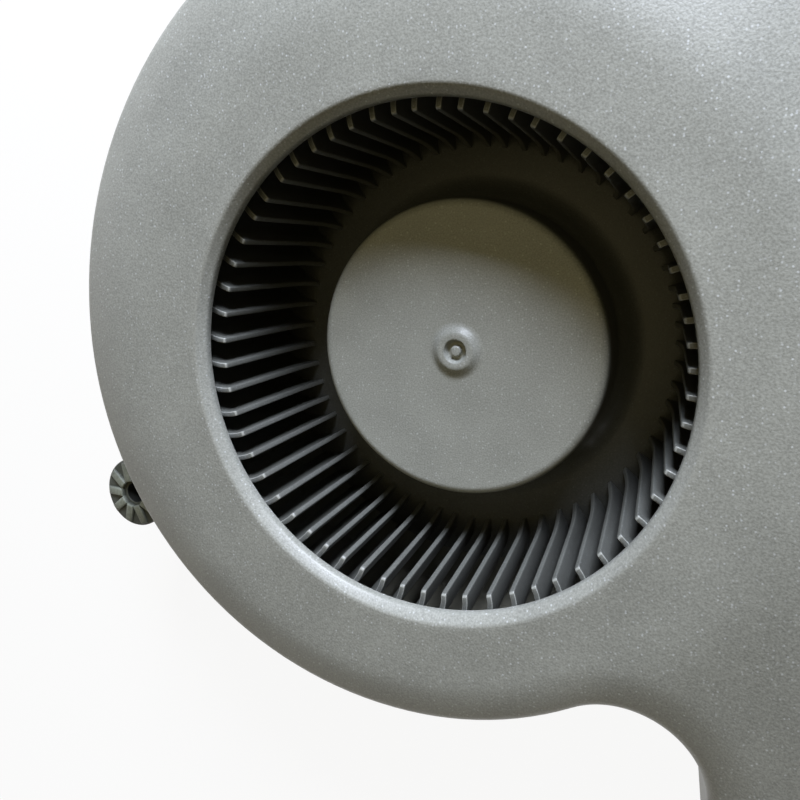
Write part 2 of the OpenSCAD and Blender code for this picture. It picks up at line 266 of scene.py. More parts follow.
def combine(obj: Object, bm: BMesh, join: Join) -> None:
    """Add a second solid to an object, or cut it out.

    Args:
        obj: The object whose mesh changes.
        bm: The second solid in millimetres, which is freed.
        join: What is done with it.
    """
    tool = make_object(bm, obj.name + "_tool")
    step = obj.modifiers.new("join", "BOOLEAN")
    step.operation = join.value
    step.solver = "EXACT"
    step.use_self = True
    step.object = tool
    bpy.context.view_layer.update()
    old = obj.data
    done = bpy.data.meshes.new_from_object(obj.evaluated_get(bpy.context.evaluated_depsgraph_get()))
    obj.modifiers.clear()
    obj.data = done
    done.name = obj.name
    bpy.data.meshes.remove(old)
    spare = tool.data
    bpy.data.objects.remove(tool)
    bpy.data.meshes.remove(spare)


def hand_over(obj: Object, node: str, body: Body, slot: str, *finishes: "Finish") -> None:
    """Dress a finished piece and let it stand for its CAD node.

    Args:
        obj: The piece.
        node: CAD node that it stands for.
        body: Body that it rides on.
        slot: Material slot of the record; not used.
        finishes: Its surface, and that of its inside where it has one.
    """
    shade(obj.data)
    for finish in finishes:
        obj.data.materials.append(finish.material())
    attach(obj, body.value)
    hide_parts(node)
    LOG.info("%s: %d faces on %s", obj.name, len(obj.data.polygons), body.value)


# Finishes

# Settings that several nodes share
SMOOTH = {"interpolation_type": "SMOOTHSTEP"}
ADD = {"operation": "ADD"}
TIMES = {"operation": "MULTIPLY"}
TIMES_PLUS = {"operation": "MULTIPLY_ADD"}
ABSOLUTE = {"operation": "ABSOLUTE"}
SCALE = {"operation": "SCALE"}
UNIT = {"operation": "NORMALIZE"}
COLOUR = {"data_type": "RGBA"}


def srgb(code: str) -> tuple[float, float, float, float]:
    """Turn an sRGB hex colour into linear values."""
    parts = [int(code[i:i + 2], 16) / 255 for i in (1, 3, 5)]
    linear = [p / 12.92 if p <= 0.04045 else ((p + 0.055) / 1.055) ** 2.4 for p in parts]
    return (*linear, 1.0)


def per_metre(size: float) -> float:
    """Give the texture scale at which one feature is this many millimetres."""
    return 1 / (size * MM)


def metres(span: Span) -> Span:
    """Turn two measures from millimetres into metres."""
    return span[0] * MM, span[1] * MM


def add_node(tree: NodeTree, kind: str, settings: dict[str, Any], *values: Any, **sockets: Any) -> Node:
    """Add a node with its settings and links.

    Args:
        tree: Tree that takes the node.
        kind: Type of the node without its prefix.
        settings: Properties of the node.
        values: What its first inputs get in order: values, outputs, or nodes for their first output.
        sockets: The same by the input's name, with _ for a space, or by its number after _.

    Returns:
        The node.
    """
    node = tree.nodes.new("ShaderNode" + kind)
    for name, value in settings.items():
        setattr(node, name, value)
    wanted: dict[int | str, Any] = dict(enumerate(values))
    for name, value in sockets.items():
        wanted[int(name[1:]) if name[1:].isdigit() else name.replace("_", " ")] = value
    for key, value in wanted.items():
        if isinstance(value, (Node, NodeSocket)):
            tree.links.new(value.outputs[0] if isinstance(value, Node) else value, node.inputs[key])
        else:
            node.inputs[key].default_value = value
    return node


def emptied(owner: bpy.types.Material | bpy.types.World) -> Adder:
    """Take out the nodes that a material or world starts with.

    Args:
        owner: The material or world.

    Returns:
        What adds a node to it.
    """
    owner.use_nodes = True
    owner.node_tree.nodes.clear()
    return partial(add_node, owner.node_tree)


def around_axis(add: Adder, place: NodeSocket) -> tuple[Node, NodeSocket]:
    """Find where a place lies around the part's axis.

    Args:
        add: Adds a node to the material.
        place: Object coordinates.

    Returns:
        The direction away from the axis and the distance from it.
    """
    flat = add("VectorMath", TIMES, place, (1.0, 1.0, 0.0))
    far = add("VectorMath", {"operation": "LENGTH"}, flat).outputs["Value"]
    return add("VectorMath", UNIT, flat), far


@dataclass(frozen=True)
class Finish:
    """A surface that every piece's material starts from: a colour with a fine and a broad unevenness.

    Its grain is a noise of which the middle span counts, and its patches are a share of a broader noise.
    """

    name: str
    colour: str
    roughness: float
    metallic: float = 0.0
    grain: float = 0.4
    grain_depth: float = 0.01
    grain_contrast: float = 0.06
    grain_detail: float = 3.0
    grain_span: Span = (0.3, 0.7)
    stretch: tuple[float, float, float] = (1.0, 1.0, 1.0)
    relief: float = 0.6
    rough_drift: float = 0.1
    patch: float = 9.0
    patch_detail: float = 2.0
    patch_share: float = 0.35
    tone_span: Span = (0.42, 0.92)

    def material(self) -> bpy.types.Material:
        """Give the material, made on first use.

        Returns:
            The material.
        """
        made = bpy.data.materials.get(self.name)
        if not made:
            made = bpy.data.materials.new(self.name)
            self.wire_up(emptied(made))
        return made

    def wire_up(self, add: Adder) -> None:
        """Link the grain to colour, roughness and bump.

        Args:
            add: Adds a node to the material, which is empty.
        """
        place = add("TexCoord", {}).outputs["Object"]
        turned = add("Mapping", {}, Vector=place, Scale=self.stretch)
        fine = add("TexNoise", {}, Vector=turned, Scale=per_metre(self.grain), Detail=self.grain_detail)
        rough = add("MapRange", {}, fine, *self.grain_span, self.roughness * (1 - self.rough_drift),
                         min(1.0, self.roughness * (1 + self.rough_drift)))
        bump = add("Bump", {}, Height=fine, Strength=self.relief, Distance=self.grain_depth * MM,
                        Normal=self.lie(add, place))
        shader = add("BsdfPrincipled", {}, Base_Color=self.colours(add, place, fine),
                          Metallic=self.metallic, Roughness=rough, Normal=bump)
        add("OutputMaterial", {}, Surface=shader)

    def lie(self, add: Adder, place: NodeSocket) -> NodeSocket:
        """Give the direction that the surface faces under its grain."""
        return add("NewGeometry", {}).outputs["Normal"]

    def colours(self, add: Adder, place: NodeSocket, fine: Node) -> NodeSocket:
        """Give the colour, which drifts with the grain and over larger patches.

        Args:
            add: Adds a node to the material.
            place: Object coordinates.
            fine: The grain's height.

        Returns:
            The colour's output.
        """
        base = srgb(self.colour)[:3]
        ends = (1 - self.grain_contrast, 1 + self.grain_contrast)
        low, high = ([min(1.0, c * end) for c in base] + [1.0] for end in ends)
        broad = add("TexNoise", {}, Vector=place, Scale=per_metre(self.patch), Detail=self.patch_detail)
        both = add("Math", TIMES_PLUS, broad, self.patch_share, fine)
        share = add("MapRange", {}, both, *self.tone_span)
        return add("Mix", COLOUR, share, _6=low, _7=high).outputs[2]


@dataclass(frozen=True)
class SparkPlastic(Finish):
    """Moulded plastic with a spark-eroded grain: dull, with tiny glints, painted as pale specks, where its
    tips catch light.
    """

    speck_pitch: float = 0.5
    speck_size: float = 0.34
    speck_core: float = 0.4
    speck_share: float = 0.5
    speck_colour: str = "#e0e4e6"
    speck_strength: float = 0.42

    def colours(self, add: Adder, place: NodeSocket, fine: Node) -> NodeSocket:
        """Give the grained colour with pale specks painted over it as glints.

        Args:
            add: Adds a node to the material.
            place: Object coordinates.
            fine: The grain's height.

        Returns:
            The colour's output.
        """
        ground = super().colours(add, place, fine)
        # Pale specks at random places: painted glints
        cells = add("TexVoronoi", {"feature": "F1"}, Vector=place, Scale=per_metre(self.speck_pitch))
        radius = self.speck_size / self.speck_pitch / 2
        spot = add("MapRange", SMOOTH, cells.outputs["Distance"], radius, radius * self.speck_core)
        red = add("SeparateColor", {}, cells.outputs["Color"])
        picked = add("MapRange", {}, red, 1 - self.speck_share, 1.0)
        mask = add("Math", TIMES, spot, picked)
        weak = add("Math", TIMES, mask, self.speck_strength)
        return add("Mix", COLOUR, weak, _6=ground, _7=srgb(self.speck_colour)).outputs[2]


@dataclass(frozen=True)
class CrownedPlastic(SparkPlastic):
    """The same plastic on a face that falls away slightly outside a circle around the inlet."""

    crown: Span = (41.0, 50.0)
    crown_tilt: float = 10.0

    def lie(self, add: Adder, place: NodeSocket) -> NodeSocket:
        """Lean the surface outwards by the crown's tilt, growing from the inner to the outer circle.

        Args:
            add: Adds a node to the material.
            place: Object coordinates.

        Returns:
            The direction that the surface faces under its grain.
        """
        away, far = around_axis(add, place)
        slope = tan(radians(self.crown_tilt))
        lean = add("MapRange", SMOOTH, far, *metres(self.crown), 0.0, slope)
        shift = add("VectorMath", SCALE, away, Scale=lean)
        both = add("VectorMath", ADD, super().lie(add, place), shift)
        return add("VectorMath", UNIT, both).outputs[0]


@dataclass(frozen=True)
class WheelPlastic(SparkPlastic):
    """The same plastic; its hub's face keeps the full colour, with painted shade on the blades' upright
    faces, their flat tops and the deep faces, and a painted highlight on the blades' round top edges.

    Spans are heights for raised and blades, distances from the axis for gate, and shares of the normal for
    lying (upwards), level (straight up) and end_on (away from the axis).
    """

    raised: Span = (9.0, 14.0)
    blades: Span = (19.0, 20.0)
    gate: Span = (5.0, 10.0)
    lying: Span = (0.4, 0.85)
    level: Span = (0.93, 0.98)
    end_on: Span = (0.4, 0.8)
    deep_shade_tone: float = 0.25
    nose_shade_tone: float = 0.36
    flank_shade_tone: float = 0.28
    tip_shade_tone: float = 0.5

    def colours(self, add: Adder, place: NodeSocket, fine: Node) -> NodeSocket:
        """Give the grained colour with painted shade on upright, deep and blade-top faces and a painted
        highlight on the blades' round edges.

        Args:
            add: Adds a node to the material.
            place: Object coordinates.
            fine: The grain's height.

        Returns:
            The colour's output.
        """
        grained = super().colours(add, place, fine)
        facing = add("TexCoord", {}).outputs["Normal"]
        up = add("SeparateXYZ", {}, facing).outputs["Z"]
        height = add("SeparateXYZ", {}, place).outputs["Z"]
        away, far = around_axis(add, place)
        along = add("VectorMath", {"operation": "DOT_PRODUCT"}, facing, away).outputs["Value"]
        end_on = add("Math", ABSOLUTE, along)
        # Painted shade on upright faces, darker on the blades' flanks than on their noses
        side = add("MapRange", SMOOTH, end_on, *self.end_on, self.flank_shade_tone, self.nose_shade_tone)
        # Painted shade on the deep faces below the hub's face
        deep = add("MapRange", SMOOTH, height, *metres(self.raised), self.deep_shade_tone, 1.0)
        # Painted shade on the blades' flat tops
        blade = add("MapRange", SMOOTH, height, *metres(self.blades), 0.0, self.tip_shade_tone - 1)
        level = add("MapRange", SMOOTH, up, *self.level)
        tip = add("Math", TIMES_PLUS, blade, level, 1.0)
        top = add("Math", TIMES, deep, tip)
        # Upright faces take the side shade and lying ones the top's; the blades' round top edges keep the
        # full colour as a painted highlight
        lying = add("MapRange", SMOOTH, up, *self.lying)
        tone = add("Mix", {}, lying, _2=side, _3=top)
        # The gate mark near the axis keeps its full colour
        gate = add("MapRange", SMOOTH, far, *metres(self.gate), 1.0, 0.0)
        shown = add("Math", {"operation": "MAXIMUM"}, tone, gate)
        return add("VectorMath", SCALE, grained, Scale=shown).outputs[0]


@dataclass(frozen=True)
class RibbedRubber(Finish):
    """Rubber with a painted highlight on its ribs and painted shade on its sides and in its hole.

    Spans are heights above and below the middle.
    """

    middle_z: float = 14.1
    sides: Span = (5.7, 5.95)
    crests: Span = (5.95, 6.7)
    side_shade_tone: float = 0.2
    crest_highlight_tone: float = 3.4

    def colours(self, add: Adder, place: NodeSocket, fine: Node) -> NodeSocket:
        """Give the grained colour with painted shade below the deck and a painted highlight on the ribs, on
        both sides of the ear.

        Args:
            add: Adds a node to the material.
            place: Object coordinates.
            fine: The grain's height.

        Returns:
            The colour's output.
        """
        ground = super().colours(add, place, fine)
        height = add("SeparateXYZ", {}, place).outputs["Z"]
        above = add("Math", ADD, height, -self.middle_z * MM)
        far = add("Math", ABSOLUTE, above)
        # Painted shade on the sides and in the hole, below the deck
        side = add("MapRange", SMOOTH, far, *metres(self.sides), self.side_shade_tone, 1.0)
        # Painted highlight on the ribs
        crest = add("MapRange", SMOOTH, far, *metres(self.crests), 1.0, self.crest_highlight_tone)
        tone = add("Math", TIMES, side, crest)
        return add("VectorMath", SCALE, ground, Scale=tone).outputs[0]


# Moulded with a spark-eroded tool, so the grey is dull and full of tiny glints, which are painted as pale
# specks
COVER_PLASTIC = CrownedPlastic("grey_moulded_abs_cover", "#8e8f88", 0.42, grain=0.28, grain_depth=0.05,
                               grain_contrast=0.24)
# The same grey without the crown, which only the cover has
CASING_PLASTIC = SparkPlastic("grey_moulded_abs_casing", "#8e8f88", 0.42, grain=0.28, grain_depth=0.05,
                              grain_contrast=0.24)
# Nearly the same grey with a finer grain, because blades have to leave their tool easily; its colour carries
# painted shade and a painted highlight on the blades
WHEEL_PLASTIC = WheelPlastic("grey_moulded_pbt_wheel", "#949690", 0.4, grain=0.24, grain_depth=0.04,
                             grain_contrast=0.22, speck_strength=0.36)
# The inside comes from the tool's polished core, so it is smoother; its darker colour is painted shade inside
# the housing
INSIDE_PLASTIC_PAINTED_SHADE = Finish("grey_polished_abs_inside_painted_shade", "#737166", 0.34, grain=0.6, grain_depth=0.004)
# Compression-moulded rubber: dark grey and half matte, with a painted highlight on its ribs and painted shade
# on its sides and in its hole
GROMMET_RUBBER = RibbedRubber("black_moulded_rubber", "#4e514a", 0.52, grain=0.5, grain_depth=0.03,
                              grain_contrast=0.25)
# Zinc-plated steel: pale grey metal with soft cloudy patches
SCREW_STEEL = Finish("zinc_plated_steel", "#b9bbbd", 0.34, metallic=1.0, grain=0.8, grain_depth=0.004)
# Turned brass: fine rings run around the axis, so the grain is stretched along the surface
TUBE_BRASS = Finish("turned_brass", "#cfae62", 0.3, metallic=1.0, grain=0.3, stretch=(0.2, 0.2, 1.0))
# Sintered bronze: porous and dull
SLEEVE_BRONZE = Finish("sintered_bronze", "#9c7646", 0.5, metallic=1.0, grain=0.25, grain_depth=0.03,
                       grain_contrast=0.2)
# Natural nylon: milky and half glossy
PALE_NYLON = Finish("natural_nylon", "#e6e2d3", 0.42, grain=0.6, grain_depth=0.006)
# Stacked steel sheets: thin lines across the height
CORE_STEEL = Finish("stacked_electrical_steel", "#86888c", 0.42, metallic=1.0, grain=0.5,
                    stretch=(0.1, 0.1, 1.0), grain_contrast=0.2)
# Enamelled copper wire: glossy red-brown turns, so the grain is stretched across the poles
WINDING_COPPER = Finish("enamelled_copper_wire", "#b5672f", 0.3, metallic=1.0, grain=0.4, grain_depth=0.06,
                        stretch=(1.0, 1.0, 0.15), grain_contrast=0.25)
# Solder mask over glass laminate: dark green with the weave just showing
BOARD_MASK = Finish("green_solder_mask", "#1f5a33", 0.35, grain=0.7, grain_depth=0.008, grain_contrast=0.12)
# Transfer-moulded epoxy: black and matte
CHIP_EPOXY = Finish("black_moulded_epoxy", "#202122", 0.55, grain=0.2, grain_contrast=0.2)
# Fired ceramic: pale brown and even
CAPACITOR_CERAMIC = Finish("fired_ceramic", "#b39a76", 0.5, grain=0.2, grain_contrast=0.1)
# Drawn sheet steel: long faint streaks up the wall
YOKE_STEEL = Finish("drawn_sheet_steel", "#a9abae", 0.36, metallic=1.0, grain=0.5, stretch=(1.0, 1.0, 0.1))
# Bonded ferrite: dark grey, grainy
MAGNET_FERRITE = Finish("bonded_ferrite", "#3a3937", 0.6, grain=0.25, grain_depth=0.02, grain_contrast=0.2)
# Ground steel: bright with fine rings
SHAFT_STEEL = Finish("ground_steel", "#c9cacc", 0.2, metallic=1.0, grain=0.2, stretch=(0.15, 0.15, 1.0))


# Sub-assemblies


@dataclass
class Scroll:
    """Plan of the scroll: four quarter arcs around the corners of a small square, a hollow and the outlet."""

    radius: float = 52.25
    step: float = 5.8
    tongue_turn: float = 299.4
    tongue_r: float = 10.9
    mouth_d: float = 60.0
    arc_steps: int = 36
    half: float = field(init=False)
    right_x: float = field(init=False)
    tongue: Vector = field(init=False)

    def __post_init__(self) -> None:
        """Work out the places that follow from the sizes."""
        self.half = self.step / 2
        self.right_x = self.half + self.arc_radius(3)
        self.tongue = self.on_arc(0, self.arc_radius(0) + self.tongue_r, self.tongue_turn)

    def centre(self, quarter: int) -> Vector:
        """Give the centre of one quarter's arc."""
        signs = ((-1, -1), (-1, 1), (1, 1), (1, -1))[quarter]
        return Vector((signs[0] * self.half, signs[1] * self.half, 0))

    def arc_radius(self, quarter: int) -> float:
        """Give the outer radius of one quarter."""
        return self.radius + (quarter - 1) * self.step

    def on_arc(self, quarter: int, radius: float, angle: float) -> Vector:
        """Give a point at a radius and angle from one quarter's centre."""
        turn = radians(angle)
        return self.centre(quarter) + radius * Vector((cos(turn), sin(turn), 0))

    def carry(self, bm: BMesh, corners: Sequence[Corner]) -> None:
        """Carry a wall section from the mouth's right side around the scroll to its left side.

        Args:
            bm: Mesh that takes the wall.
            corners: The section, with u = 0 on the outer face.
        """
        edges = draw_section(bm, corners, lambda u, z: Vector((self.right_x + u, -self.mouth_d, z)))
        edges = pull(bm, edges, Vector((0, self.mouth_d - self.half, 0)))
        for quarter in (3, 2, 1):
            edges = swing(bm, edges, self.centre(quarter), 90, self.arc_steps)
        edges = swing(bm, edges, self.centre(0), self.tongue_turn - 270, self.arc_steps // 3)
        edges = swing(bm, edges, self.tongue, 180 - self.tongue_turn, self.arc_steps)
        pull(bm, edges, Vector((0, -self.tongue.y - self.mouth_d, 0)))

    def on_mouth(self, vert: BMVert) -> bool:
        """Tell whether a vertex lies in the mouth's plane."""
        return abs(vert.co.y + self.mouth_d) < TINY

    def fill_level(self, bm: BMesh, level: float) -> None:
        """Fill the plan at one level, up to the mouth and around any round hole that is open there.

        Args:
            bm: Mesh with the wall.
            level: Height of the plan.
        """
        edges = [e for e in bm.edges if e.is_boundary and all(abs(v.co.z - level) < TINY for v in e.verts)
                 and not all(self.on_mouth(v) for v in e.verts)]
        ends = list({v for e in edges for v in e.verts if self.on_mouth(v)})
        edges.append(bm.edges.new(ends))
        bmesh.ops.triangle_fill(bm, use_beauty=True, use_dissolve=False, edges=edges, normal=(0, 0, 1))

    def close_mouth(self, bm: BMesh) -> None:
        """Close the wall's ends in the mouth's plane."""
        edges = [e for e in bm.edges if e.is_boundary]
        bmesh.ops.triangle_fill(bm, use_beauty=True, use_dissolve=False, edges=edges, normal=(0, -1, 0))


@dataclass
class Fixings:
    """Lugs of the cover screws and mounting ears with their rubber grommets."""

    scroll: Scroll
    split_z: float = 15.6
    round_steps: int = 40
    lug_turns: tuple[tuple[int, float], ...] = ((1, 247.0), (2, 146.0), (3, 32.0))
    lug_r: float = 3.0
    lug_out: float = 2.6
    lug_z: float = 6.1
    lug_top: float = 21.6
    lug_y: float = -20.0
    lug_bite: float = 0.9
    lug_cap: float = 1.2
    tab_round: float = 0.999
    tab_steps: int = 10
    tab_edge: float = 0.45
    screw_r: float = 1.3
    screw_gap: float = 0.1
    screw_edge: float = 0.1
    point_gap: float = 0.5
    point_edge: float = 0.4
    head_r: float = 2.4
    head_h: float = 1.7
    head_round: float = 0.9
    head_edge: float = 0.15
    slot: tuple[float, float, float] = (2.8, 0.6, 1.0)
    ear_circle: tuple[float, float, float] = (13.7522, -1.55, 78.75)
    ear_turn: float = 199.7
    ear_t: float = 3.0
    ear_r: float = 5.4
    ear_bite: float = 1.2
    ear_flare: float = 0.2
    neck_r: float = 4.2
    neck_gap: float = 0.1
    seat_gap: float = 0.05
    seat_edge: float = 0.3
    grommet_r: float = 6.2
    grommet_rim: float = 5.3
    grommet_edge: float = 0.35
    grommet_steps: int = 48
    hole_r: float = 1.8
    hole_edge: float = 0.12
    ribs: int = 10
    rib_w: float = 1.5
    rib_h: float = 0.85
    rib_end: float = 0.4
    rib_back: float = 0.45
    rib_root: float = 0.8
    rib_in: float = 0.4
    rib_out: float = 0.05
    rib_edge: float = 0.4

    def lugs(self) -> list[Vector]:
        """Give where the cover screws sit, outside the wall."""
        plan, out = self.scroll, self.lug_out
        turned = [plan.on_arc(q, plan.arc_radius(q) + out, angle) for q, angle in self.lug_turns]
        return [*turned, Vector((plan.right_x + out, self.lug_y, 0))]

    def ears(self) -> list[Vector]:
        """Give where the ears' holes are."""
        x, y, r = self.ear_circle
        turns = [radians(self.ear_turn - 120 * i) for i in range(3)]
        return [Vector((x + r * cos(t), y + r * sin(t), 0)) for t in turns]

    def ear_feet(self) -> list[tuple[Vector, float]]:
        """Give the point that each ear leans towards and how far it reaches."""
        p, s = self.ears(), self.scroll
        feet = [(s.centre(q), (p[i] - s.centre(q)).length - s.arc_radius(q)) for i, q in ((0, 1), (1, 3))]
        return [*feet, (Vector((0, p[2].y, 0)), p[2].x - s.right_x)]

    def tab(self, bm: BMesh, end: Vector, towards: Vector, r: float, reach: float, foot: float, z: Span,
            round_top: bool = True, round_foot: bool = True) -> None:
        """Add a tongue-shaped tab with a round end.

        Args:
            bm: Mesh that takes the tab.
            end: Centre of the round end.
            towards: Point that the tab leads towards.
            r: Radius of the round end.
            reach: Length from the end's centre to the tab's foot.
            foot: Half width at the foot.
            z: Lower and upper level.
            round_top: Whether the upper rim is rounded.
            round_foot: Whether the lower rim is rounded.
        """
        shape = bmesh.new()
        rounding = r * self.tab_round
        corners = [Corner(-r, -r, rounding, self.tab_steps), Corner(reach, -foot), Corner(reach, foot),
                   Corner(-r, r, rounding, self.tab_steps)]
        edges = draw_section(shape, corners, lambda u, v: Vector((u, v, z[0])), closed=True)
        low, high = raise_prism(shape, edges, z[1] - z[0])
        rims = [e for face, on in ((low, round_foot), (high, round_top)) if on for e in face.edges]
        soften(shape, rims, self.tab_edge)
        tidy(shape)
        lead = towards - end
        turn = Matrix.Rotation(atan2(lead.y, lead.x), 4, "Z")
        add_copies(bm, shape, [Matrix.Translation(end) @ turn])

    def add_lugs(self, bm: BMesh, z: Span, top: bool) -> None:
        """Add the screw lugs, rounded at the end away from the split.

        Args:
            bm: Mesh that takes the lugs.
            z: Lower and upper level.
            top: Whether the upper end is the rounded one.
        """
        reach = self.lug_out + self.lug_bite
        for p in self.lugs():
            self.tab(bm, p, ORIGIN, self.lug_r, reach, self.lug_r, z, top, not top)

    def add_ears(self, bm: BMesh) -> None:
        """Add the ears' plates.

        Args:
            bm: Mesh that takes the plates.
        """
        z = (self.split_z - self.ear_t, self.split_z)
        for p, (foot, gap) in zip(self.ears(), self.ear_feet()):
            reach = gap + self.ear_bite
            self.tab(bm, p, foot, self.ear_r, reach, self.ear_r + self.ear_flare * reach, z)

    def cylinders(self, bm: BMesh, places: Sequence[Vector], r: float, z: Span) -> None:
        """Add plain cylinders.

        Args:
            bm: Mesh that takes the cylinders.
            places: Where they stand.
            r: Their radius.
            z: Lower and upper level.
        """
        for p in places:
            middle = Matrix.Translation((p.x, p.y, sum(z) / 2))
            bmesh.ops.create_cone(bm, cap_ends=True, segments=self.round_steps, radius1=r, radius2=r,
                                  depth=z[1] - z[0], matrix=middle)

    def grommets(self) -> Object:
        """Make the three ribbed rubber grommets, each the same above and below its ear.

        Returns:
            The object.
        """
        bm, one = bmesh.new(), bmesh.new()
        seat = self.ear_t / 2
        deck = seat + self.grommet_rim - self.rib_h
        upper = [Corner(self.hole_r, deck, self.hole_edge), Corner(self.grommet_r, deck, self.grommet_edge),
                 Corner(self.grommet_r, seat + self.seat_gap, self.seat_edge),
                 Corner(self.neck_r - self.neck_gap, seat + self.seat_gap)]
        lower = [Corner(c.u, -c.z, c.radius) for c in reversed(upper)]
        turn_round(one, upper + lower, self.grommet_steps, closed=True)
        tidy(one)
        for side in (1, -1):
            half = self.rib_star(deck)
            bmesh.ops.scale(half, vec=(1, 1, side), verts=half.verts)
            bmesh.ops.recalc_face_normals(half, faces=half.faces)
            add_mesh(one, half)
        lift = Vector((0, 0, self.split_z - seat))
        add_copies(bm, one, [Matrix.Translation(p + lift) for p in self.ears()])
        return make_object(bm, "grommet_rubbers")

    def rib_star(self, deck: float) -> BMesh:
        """Make the ribs around a grommet's hole, lower at their outer ends.

        Args:
            deck: Height that the ribs stand on.

        Returns:
            The mesh.
        """
        bm = bmesh.new()
        start = self.hole_r + self.rib_in
        length = self.grommet_r - self.rib_out - start
        middle = Matrix.Translation((start + length / 2, 0, deck + (self.rib_h - self.rib_root) / 2))
        size = Matrix.Diagonal((length, self.rib_w, self.rib_h + self.rib_root, 1))
        bmesh.ops.create_cube(bm, size=1, matrix=middle @ size)
        outer_top = [v for v in bm.verts if v.co.x > start + length / 2 and v.co.z > deck]
        bmesh.ops.translate(bm, vec=(-self.rib_back, 0, self.rib_end - self.rib_h), verts=outer_top)
        soften(bm, [e for e in bm.edges if all(v.co.z > deck for v in e.verts)], self.rib_edge, 3)
        copies = self.ribs - 1
        bmesh.ops.spin(bm, geom=bm.verts[:] + bm.edges[:] + bm.faces[:], cent=ORIGIN, axis=(0, 0, 1),
                       dvec=(0, 0, 0), angle=2 * pi * copies / self.ribs, steps=copies, use_merge=False,
                       use_duplicate=True)
        return bm

    def screws(self) -> Object:
        """Make the four pan-head screws, driven from below.

        Returns:
            The object.
        """
        bm, one, cuts, cross = (bmesh.new() for _ in range(4))
        low = self.lug_z - self.head_h
        end = self.lug_top - self.lug_cap - self.point_gap
        corners = [Corner(0, low), Corner(self.head_r, low, self.head_round, 5),
                   Corner(self.head_r, self.lug_z, self.head_edge),
                   Corner(self.screw_r, self.lug_z, self.screw_edge),
                   Corner(self.screw_r, end, self.point_edge), Corner(0, end)]
        turn_round(one, corners, self.round_steps)
        tidy(one)
        long, wide, deep = self.slot
        for turn in (0, 90):
            spot = Matrix.Translation((0, 0, low)) @ Matrix.Rotation(radians(turn), 4, "Z")
            bmesh.ops.create_cube(cross, size=1, matrix=spot @ Matrix.Diagonal((long, wide, 2 * deep, 1)))
        places = [Matrix.Translation(p) for p in self.lugs()]
        add_copies(bm, one, places)
        add_copies(cuts, cross, places)
        obj = make_object(bm, "cover_screw_set")
        combine(obj, cuts, Join.CUT)
        return obj

    def build(self) -> None:
        """Make and dress the grommets and the screws."""
        hand_over(self.grommets(), "grommets", Body.HOUSING, "grommet_rubber", GROMMET_RUBBER)
        hand_over(self.screws(), "cover_screws", Body.HOUSING, "screw_steel", SCREW_STEEL)


